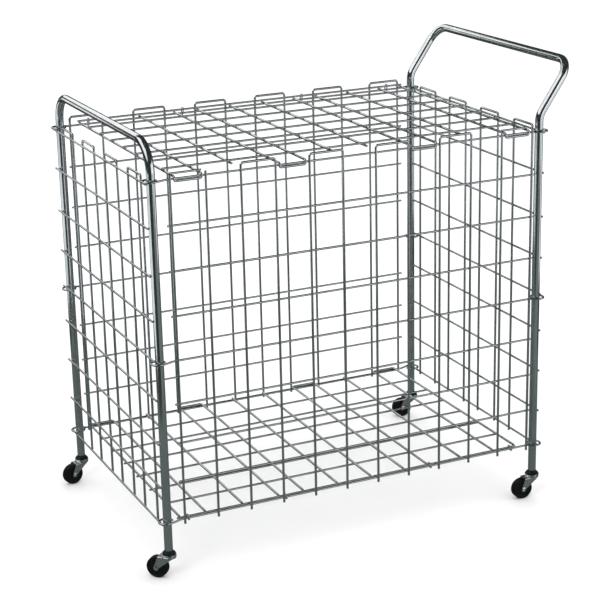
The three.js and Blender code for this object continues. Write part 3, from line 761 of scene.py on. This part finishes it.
# %% Sizes of the casters
WHEEL = 50 * MM
WHEEL_WIDTH = 18 * MM
TRAIL = 28 * MM
AXLE = 6.4 * MM
SHEET = 2 * MM
SIDE_PLAY = 1 * MM
OVER_WHEEL = 1 * MM
FORK_BOTTOM = WHEEL + OVER_WHEEL
FORK_BACK = 24 * MM
FORK_DISC = 33 * MM
FORK_LEG_FRONT = 12.5 * MM
FORK_EYE = 13 * MM
KINGPIN = 8 * MM
BEARING_HEIGHT = 3.6 * MM
RACE = 34 * MM
RACE_BOTTOM = FORK_BOTTOM + SHEET + BEARING_HEIGHT + 2 * FIT
RACE_HEIGHT = 2.8 * MM
FLANGE = 30 * MM
FLANGE_RIM = 2.2 * MM
FLANGE_BOTTOM = RACE_BOTTOM + RACE_HEIGHT + FIT
PLUG_LENGTH = 22 * MM
SHOULDER = TUBE_FOOT - FIT
print("between the flange and the tube's foot:", round((SHOULDER - FLANGE_BOTTOM) / MM, 1), "mm")

# %% Outlines spun about an axis
def rounded(outline, radii, steps=4):
    """An outline with each corner rounded by its own radius, as an arc between its two sides."""
    outline = np.asarray(outline, float)
    made = []
    for before, corner, after, radius in zip(np.roll(outline, 1, 0), outline, np.roll(outline, -1, 0), radii):
        if radius == 0:
            made.append(corner[None])
            continue
        to_before = (before - corner) / np.linalg.norm(before - corner)
        to_after = (after - corner) / np.linalg.norm(after - corner)
        half = np.arccos(np.clip(to_before @ to_after, -1, 1)) / 2
        bisector = (to_before + to_after) / np.linalg.norm(to_before + to_after)
        centre = corner + bisector * radius / np.sin(half)
        start = corner + to_before * radius / np.tan(half) - centre
        end = corner + to_after * radius / np.tan(half) - centre
        share = np.linspace(0, 1, steps + 1)[:, None]
        sweep = np.pi - 2 * half
        arc = np.sin((1 - share) * sweep) * start + np.sin(share * sweep) * end
        made.append(centre + arc / np.sin(sweep))
    return np.concatenate(made)


def spun(outline, columns=48):
    """The grid (r cos a, r sin a, z) of a closed outline of (radius, height) points."""
    angle = np.linspace(0, 2 * np.pi, columns, endpoint=False)[None, :]
    r, z = outline[:, :1], outline[:, 1:]
    return np.stack(np.broadcast_arrays(r * np.cos(angle), r * np.sin(angle), z), axis=-1)


# %% Turn a caster piece to its corner
def turned_to(points, heading, corner):
    """Turns points about the swivel axis by a heading in degrees and moves them under their post."""
    c, s = np.cos(np.radians(heading)), np.sin(np.radians(heading))
    turn = np.array([[c, -s, 0], [s, c, 0], [0, 0, 1]])
    return points @ turn.T + MIDDLE + corner


def on_axle(points):
    """Lays a piece that was spun about Z along Y, at the axle."""
    return np.stack([points[..., 0] + TRAIL, -points[..., 2], points[..., 1] + WHEEL / 2], axis=-1)


# %% The bushing, the kingpin and the bearing
KINGPIN_HEAD = 13 * MM
KINGPIN_HEAD_HEIGHT = 3 * MM
KINGPIN_HEAD_EDGE = 1.2 * MM
KINGPIN_REACH = 16 * MM
KINGPIN_BORE = 2 * MM
NECK = 21.2 * MM
NECK_DROP = 2 * MM
RACE_FALL = 0.5 * MM
BALL_CIRCLE = 16 * MM
BALL_WAIST = 1.55 * MM
BALL_SWELL = 0.25 * MM
BALLS = 12


def bushing():
    """A cone that widens from the tube to the race disc, with its plug up inside the tube."""
    bore, plug = KINGPIN / 2 + FIT, TUBE / 2 - TUBE_WALL - FIT
    top = TUBE_FOOT + PLUG_LENGTH
    outline = [(bore, FLANGE_BOTTOM), (FLANGE / 2, FLANGE_BOTTOM), (FLANGE / 2, FLANGE_BOTTOM + FLANGE_RIM),
               (NECK / 2, SHOULDER - NECK_DROP), (TUBE / 2, SHOULDER), (plug, SHOULDER),
               (plug, top), (bore, top)]
    return spun(rounded(outline, np.array([0, 0.8, 1.2, 2.5, 0.3, 0, 0.8, 0]) * MM))


def kingpin():
    """The swivel's hollow rivet: a domed head under the fork and a shank up into the bushing."""
    top, end = FORK_BOTTOM - FIT, TUBE_FOOT + KINGPIN_REACH
    low, head = top - KINGPIN_HEAD_HEIGHT, KINGPIN_HEAD / 2
    outline = [(KINGPIN_BORE / 2, low), (KINGPIN / 2, low), (head, top - KINGPIN_HEAD_EDGE), (head, top),
               (KINGPIN / 2, top), (KINGPIN / 2, end), (KINGPIN_BORE / 2, end)]
    return spun(rounded(outline, np.array([0, 1, 0.5, 0.2, 0, 0.6, 0]) * MM), 32)


def race_disc():
    """The pressed disc over the balls, with a rolled edge and a low step round the bushing."""
    bore, top = KINGPIN / 2 + FIT, RACE_BOTTOM + RACE_HEIGHT
    outline = [(bore, RACE_BOTTOM), (RACE / 2, RACE_BOTTOM), (RACE / 2, top - RACE_FALL), (bore, top)]
    return spun(rounded(outline, np.array([0, 1.1, 1.1, 0]) * MM, 6), 64)


def ball_ring():
    """The caged balls between the fork and the race disc, as a row of beads on a ring."""
    angle = np.linspace(0, 2 * np.pi, 96, endpoint=False)[None, :]
    tilt = np.linspace(0, 2 * np.pi, 12, endpoint=False)[:, None]
    swell = BALL_WAIST + BALL_SWELL * np.abs(np.cos(BALLS / 2 * angle))
    middle = FORK_BOTTOM + SHEET + FIT + BEARING_HEIGHT / 2
    r, z = BALL_CIRCLE / 2 + swell * np.cos(tilt), middle + swell * np.sin(tilt)
    return np.stack([r * np.cos(angle), r * np.sin(angle), z], axis=-1)


# %% The wheel and its axle
HUB = 16 * MM
DISH = 41 * MM
DISH_DEPTH = 1.4 * MM
DISH_SLOPE = 1 * MM
CROWN = 0.2 * MM
AXLE_HEAD = 11 * MM
AXLE_HEAD_HEIGHT = 1.5 * MM
AXLE_HEAD_EDGE = 0.3 * MM
AXLE_HEAD_CREST = 5.2 * MM
DIMPLE = 3.6 * MM
DIMPLE_EDGE = 0.9 * MM
DIMPLE_DEPTH = 1.4 * MM
AXLE_BORE = 0.8 * MM


def wheel():
    """A solid wheel: a crowned tread, round shoulders, a shallow dish in each side and a hub."""
    side, inner, outer = WHEEL_WIDTH / 2, HUB / 2, DISH / 2
    shoulder, deep = WHEEL / 2 - CROWN, side - DISH_DEPTH
    half = [(AXLE / 2 + FIT, side), (inner, side), (inner + DISH_SLOPE, deep), (outer - DISH_SLOPE, deep),
            (outer, side), (shoulder, side)]
    outline = [(r, -z) for r, z in half] + [(WHEEL / 2, 0)] + half[::-1]
    radii = np.array([0, 0.5, 0.8, 0.8, 0.6, 2.4, 0, 2.4, 0.6, 0.8, 0.8, 0.5, 0]) * MM
    return on_axle(spun(rounded(outline, radii), 72))


def axle():
    """A tubular rivet: the head is rolled over and leaves a dimple in its middle."""
    shoulder = WHEEL_WIDTH / 2 + SIDE_PLAY + SHEET + FIT
    end, head = shoulder + AXLE_HEAD_HEIGHT, AXLE_HEAD / 2
    half = [(AXLE_BORE / 2, end - DIMPLE_DEPTH), (DIMPLE / 2, end - DIMPLE_EDGE),
            (AXLE_HEAD_CREST / 2, end), (head, shoulder + AXLE_HEAD_EDGE), (head, shoulder),
            (AXLE / 2, shoulder)]
    outline = [(r, -z) for r, z in half] + half[::-1]
    radii = np.array([0, 0.4, 0.9, 0.1, 0.1, 0, 0, 0.1, 0.1, 0.9, 0.4, 0]) * MM
    return on_axle(spun(rounded(outline, radii), 32))


# %% The pressed fork
FORK_BEND = 2.6 * MM
FORK_ROUNDING = 0.35 * MM
EYE_START = 0.02  # radians from the eye's lowest point, where the strip would have no width
CUP_BORE = 21 * MM
CUP = 33 * MM
CUP_TOP = 26.4 * MM
CUP_WALL = 2 * MM


def fork_strip():
    """The sheet's outer face along the strip: Y and Z of its middle line, and its two edges in X.

    From the bottom of one leg the strip goes up, round a quarter circle, across and down again. A
    leg's edges are straight from the top to the round eye, and the eye is a circle about the axle.
    """
    half = WHEEL_WIDTH / 2 + SIDE_PLAY + SHEET
    top = FORK_BOTTOM + SHEET
    drop = np.concatenate([np.cos(np.linspace(EYE_START, np.pi / 2, 12)) * -FORK_EYE / 2 + WHEEL / 2,
                           np.linspace(WHEEL / 2, top - FORK_BEND, 8)[1:]])
    bend = np.radians(np.linspace(0, 90, 7))[1:]
    across = np.linspace(half - FORK_BEND, 0, 10)[1:]
    y = np.concatenate([np.full(len(drop), half), half - FORK_BEND * (1 - np.cos(bend)), across])
    z = np.concatenate([drop, top - FORK_BEND * (1 - np.sin(bend)), np.full(len(across), top)])
    y, z = np.concatenate([y, -y[-2::-1]]), np.concatenate([z, z[-2::-1]])
    rise = np.clip((z - WHEEL / 2) / (top - FORK_BEND / 2 - WHEEL / 2), 0, 1)
    eye = np.sqrt(np.clip((FORK_EYE / 2) ** 2 - np.clip(WHEEL / 2 - z, 0, None) ** 2, 0, None))
    back = (TRAIL + eye) * (1 - rise) + FORK_BACK * rise
    front = (TRAIL - eye) * (1 - rise) - FORK_LEG_FRONT * rise
    round_front = -np.sqrt(np.clip((FORK_DISC / 2) ** 2 - y**2, 0, None))
    front = np.where(np.abs(y) < half - FORK_BEND, np.minimum(front, round_front), front)
    return y, z, front, back


def fork_sheet():
    """Two faces of the sheet, one thickness apart, joined round their edges as one closed grid."""
    y, z, front, back = fork_strip()
    slope = np.stack([np.gradient(y), np.gradient(z)], axis=1)
    slope /= np.linalg.norm(slope, axis=1)[:, None]
    inward = np.stack([-slope[:, 1], slope[:, 0]], axis=1) * SHEET
    share = np.linspace(0, 1, 7)[None, :]

    def face(depth, trim):
        x = (front + trim)[:, None] * (1 - share) + (back - trim)[:, None] * share
        shifted = np.stack([y, z], axis=1) + inward * depth
        return np.stack(np.broadcast_arrays(x, shifted[:, :1], shifted[:, 1:]), axis=-1)

    outer, inner = face(0, FORK_ROUNDING), face(1, FORK_ROUNDING)
    rim_back, rim_front = face(0.5, 0)[:, -1:], face(0.5, 0)[:, :1]
    return np.concatenate([outer, rim_back, inner[:, ::-1], rim_front], axis=1)


def fork_cup():
    """The raised ring race on the fork's top."""
    top = RACE_BOTTOM - FIT
    low = FORK_BOTTOM + SHEET / 2
    outline = [(CUP_BORE / 2, low), (CUP / 2, low), (CUP / 2, low + CUP_WALL), (CUP_TOP / 2, top),
               (CUP_BORE / 2, top)]
    return spun(rounded(outline, np.array([0, 0.4, 0.8, 0.9, 0.4]) * MM), 64)


# %% Build the four casters
CASTERS = {"front_left": (-1, -1, 135), "back_left": (-1, 1, 193),
           "front_right": (1, -1, 178), "back_right": (1, 1, 170)}

for corner, (side, face, heading) in CASTERS.items():
    under = np.array([side * POST_X, face * POST_Y, 0])
    turned_pieces = [
        ("bushing", bushing(), black_plastic, "cart_frame", "black_plastic"),
        ("kingpin", kingpin(), zinc_plate, "cart_frame", "zinc_plate"),
        ("race_disc", race_disc(), zinc_plate, "cart_frame", "zinc_plate"),
        ("ball_ring", ball_ring(), zinc_plate, f"{corner}_caster", "bearing_steel"),
        ("axle", axle(), zinc_plate, f"{corner}_caster", "bearing_steel"),
        ("wheel", wheel(), black_rubber, f"{corner}_roller", "black_wheel"),
    ]
    for piece, grid, finish, body, slot in turned_pieces:
        surfaces = Surfaces().add(turned_to(grid, heading, under), loop=True)
        place(f"{corner}_{piece}_look", surfaces, finish, body, slot, f"{corner}_{piece}")
    surfaces = Surfaces().add(turned_to(fork_sheet(), heading, under))
    surfaces.add(turned_to(fork_cup(), heading, under), loop=True)
    place(f"{corner}_fork_look", surfaces, zinc_plate, f"{corner}_caster", "zinc_plate", f"{corner}_fork")
print("casters made")

# %% [markdown]
# ## Studio
# Bright metal shows only what surrounds it. In the photo the uprights mirror a grey floor with pale
# patches to the left and the right, the bars show one or two pale strips, and the rest is dark. Cards
# that only reflections see make that room, and the visible floor and air stay white. The wires are
# about two pixels wide and would fade under a film curve, so the picture has the plain transform.

# %% Floor and world
GROUND = 14.0
GROUND_COLOUR = (0.96, 0.96, 0.96)
AIR_COLOUR = (1, 1, 1, 1)
AIR_STRENGTH = 1.1


def stage_sheet(name, grid, colour):
    """A matt sheet of the studio, from a grid of points with four sides to each face."""
    grid = np.asarray(grid, float)
    rows, columns = grid.shape[:2]
    index = np.arange(rows * columns).reshape(rows, columns)
    faces = np.stack([index[:-1, :-1], index[:-1, 1:], index[1:, 1:], index[1:, :-1]], axis=-1)
    mesh = bpy.data.meshes.new(name)
    mesh.from_pydata(grid.reshape(-1, 3).tolist(), [], faces.reshape(-1, 4).tolist())
    sheet = bpy.data.objects.new(name, mesh)
    bpy.context.scene.collection.objects.link(sheet)
    paint = bpy.data.materials.new(name)
    paint.use_nodes = True
    shader = paint.node_tree.nodes["Principled BSDF"]
    shader.inputs["Base Color"].default_value = (*colour, 1)
    shader.inputs["Roughness"].default_value = 1.0
    shader.inputs["Specular IOR Level"].default_value = 0
    mesh.materials.append(paint)
    sheet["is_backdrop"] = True
    return sheet


side = np.array([-GROUND, GROUND])
ground = np.stack(np.broadcast_arrays(side[None, :], side[:, None], 0.0), axis=-1)
stage_sheet("floor", ground, GROUND_COLOUR)
world = bpy.data.worlds.new("pale_room")
bpy.context.scene.world = world
world.use_nodes = True
world.node_tree.nodes["Background"].inputs["Color"].default_value = AIR_COLOUR
world.node_tree.nodes["Background"].inputs["Strength"].default_value = AIR_STRENGTH
bpy.context.scene.view_settings.view_transform = "Standard"
print("floor and world made")

# %% Tables of the cards, with angles in degrees and distances in metres
CARD_RADIUS = 5.2
PATCH_RADIUS = 5.1
NEAR_RADIUS = 1.6
CARD_HOLE = 0.02
CARD_LIFT = 0.0012
CARD_STEP = 5
CARD_ROWS = 8
EYE_HEIGHT = 0.5
DARK = (0.026, 0.031, 0.031)
# NEAR and MIDDLING are painted shade: the pale floor near the cart as it looks in shadow, for reflections
# only
NEAR = (0.095, 0.112, 0.110)
MIDDLING = (0.12, 0.135, 0.135)
LIGHT = (0.62, 0.66, 0.67)
BRIGHT = (0.93, 0.95, 0.96)
# The MIDDLING patch in front is painted shade on the near floor, with the lit floor beyond it in LIGHT
# First and last azimuth, nearest and farthest distance, colour
FLOOR_PATCHES = [(215, 290, 2.0, PATCH_RADIUS, LIGHT), (50, 85, 2.3, PATCH_RADIUS, LIGHT),
                 (5, 50, 4.0, PATCH_RADIUS, LIGHT), (-15, 50, 1.2, 4.0, MIDDLING)]
# First and last azimuth, lowest and highest tilt, and for the patches a colour
DOME = [(0, 360, -6, 19), (206, 525, 19, 32), (0, 360, 32, 89)]
WALL_PATCHES = [(5, 70, -5, 24, BRIGHT), (210, 310, 26, 62, BRIGHT), (165, 195, 31, 36, BRIGHT),
                (202, 206, -6, 10, BRIGHT)]


# %% Cards that only reflections see
def card(name, profile, first, last, colour):
    """A profile of (distance, height) points carried from one azimuth to another, from -Y on."""
    distance, height = np.array(profile, float).T[..., None]
    angle = np.radians(np.arange(first, last + CARD_STEP / 2, CARD_STEP))[None, :]
    grid = np.broadcast_arrays(distance * np.sin(angle), -distance * np.cos(angle), height)
    sheet = stage_sheet(name, np.stack(grid, axis=-1), colour)
    sheet.visible_camera = False
    sheet.visible_diffuse = False
    sheet.visible_transmission = False
    sheet.visible_shadow = False


def wall_card(name, distance, first, last, low, high, colour):
    """A card between two azimuths and two tilts, seen from the middle of the cart."""
    tilt = np.radians(np.linspace(low, high, CARD_ROWS))
    arc = np.stack([distance * np.cos(tilt), EYE_HEIGHT + distance * np.sin(tilt)], axis=1)
    card(name, arc, first, last, colour)


# The grey of the floor card round the cart is painted shade, the pale floor in shadow as reflections see it
card("floor_card", [(CARD_HOLE, CARD_LIFT), (NEAR_RADIUS, CARD_LIFT)], 0, 360, NEAR)
card("far_floor_card", [(NEAR_RADIUS, CARD_LIFT), (CARD_RADIUS, CARD_LIFT)], 0, 360, DARK)
for number, (first, last, near, far, colour) in enumerate(FLOOR_PATCHES):
    card(f"floor_patch_{number}", [(near, 2 * CARD_LIFT), (far, 2 * CARD_LIFT)], first, last, colour)
for number, (first, last, low, high) in enumerate(DOME):
    wall_card(f"dome_{number}", CARD_RADIUS, first, last, low, high, DARK)
for number, (first, last, low, high, colour) in enumerate(WALL_PATCHES):
    wall_card(f"wall_patch_{number}", PATCH_RADIUS, first, last, low, high, colour)
print("cards:", 2 + len(FLOOR_PATCHES) + len(DOME) + len(WALL_PATCHES))

# %% Soft lights
def soft_light(name, place_at, aim, size, power):
    """A square area light aimed at a point."""
    lamp = bpy.data.lights.new(name, "AREA")
    lamp.shape = "SQUARE"
    lamp.size = size
    lamp.energy = power
    light = bpy.data.objects.new(name, lamp)
    bpy.context.scene.collection.objects.link(light)
    place_at, aim = np.array(place_at, float), np.array(aim, float)
    back = (place_at - aim) / np.linalg.norm(place_at - aim)
    right = np.cross((0, 0, 1), back)
    right /= np.linalg.norm(right)
    up = np.cross(back, right)
    turn = Matrix(np.column_stack([right, up, back]).tolist()).to_4x4()
    light.matrix_world = Matrix.Translation(place_at.tolist()) @ turn
    light.visible_glossy = False


# Place, aim, size and power
LIGHTS = {"key": ((-2.6, -2.2, 3.4), (0, 0, 0.5), 1.2, 26), "fill": ((3.2, -1.6, 2.6), (0, 0, 0.5), 1.6, 13),
          "rim": ((0.5, 3.4, 3.0), (0, 0, 0.6), 1.4, 18)}
for name, (place_at, aim, size, power) in LIGHTS.items():
    soft_light(name, place_at, aim, size, power)
print("lights:", len(LIGHTS))

# %% [markdown]
# ## Camera
# The view is worked out from the photo: the mesh's rows and columns are parallel lines at known
# spacing, which fixes the place, the turn and the field of view together.

# %% The photo's camera
CAMERA_FROM_MIDDLE = np.array([-1.6587, -3.5814, 1.7622])
CAMERA_YAW = np.radians(24.80)
CAMERA_PITCH = np.radians(17.89)
CAMERA_ROLL = -0.0229
CAMERA_LENS = 104.87
CAMERA_SENSOR = 36

level = np.cos(CAMERA_PITCH)
forward = np.array([np.sin(CAMERA_YAW) * level, np.cos(CAMERA_YAW) * level, -np.sin(CAMERA_PITCH)])
right = np.cross(forward, (0, 0, 1))
right /= np.linalg.norm(right)
up = np.cross(right, forward)
rolled_right = right * np.cos(CAMERA_ROLL) + up * np.sin(CAMERA_ROLL)
rolled_up = up * np.cos(CAMERA_ROLL) - right * np.sin(CAMERA_ROLL)
camera_data = bpy.data.cameras.new("camera")
camera_data.lens = CAMERA_LENS
camera_data.sensor_width = CAMERA_SENSOR
camera_data.sensor_fit = "HORIZONTAL"
camera = bpy.data.objects.new("camera", camera_data)
bpy.context.scene.collection.objects.link(camera)
turn = Matrix(np.column_stack([rolled_right, rolled_up, -forward]).tolist()).to_4x4()
camera.matrix_world = Matrix.Translation((MIDDLE + CAMERA_FROM_MIDDLE).tolist()) @ turn
bpy.context.scene.camera = camera
print("camera at", np.round(camera.matrix_world.translation, 3))

# %% Compare the two boxes and finish
visual_box = [list(corner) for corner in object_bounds()]
difference = np.abs(np.subtract(cad_box, visual_box)).max() / MM
print("largest difference of the boxes in mm:", round(difference, 2))
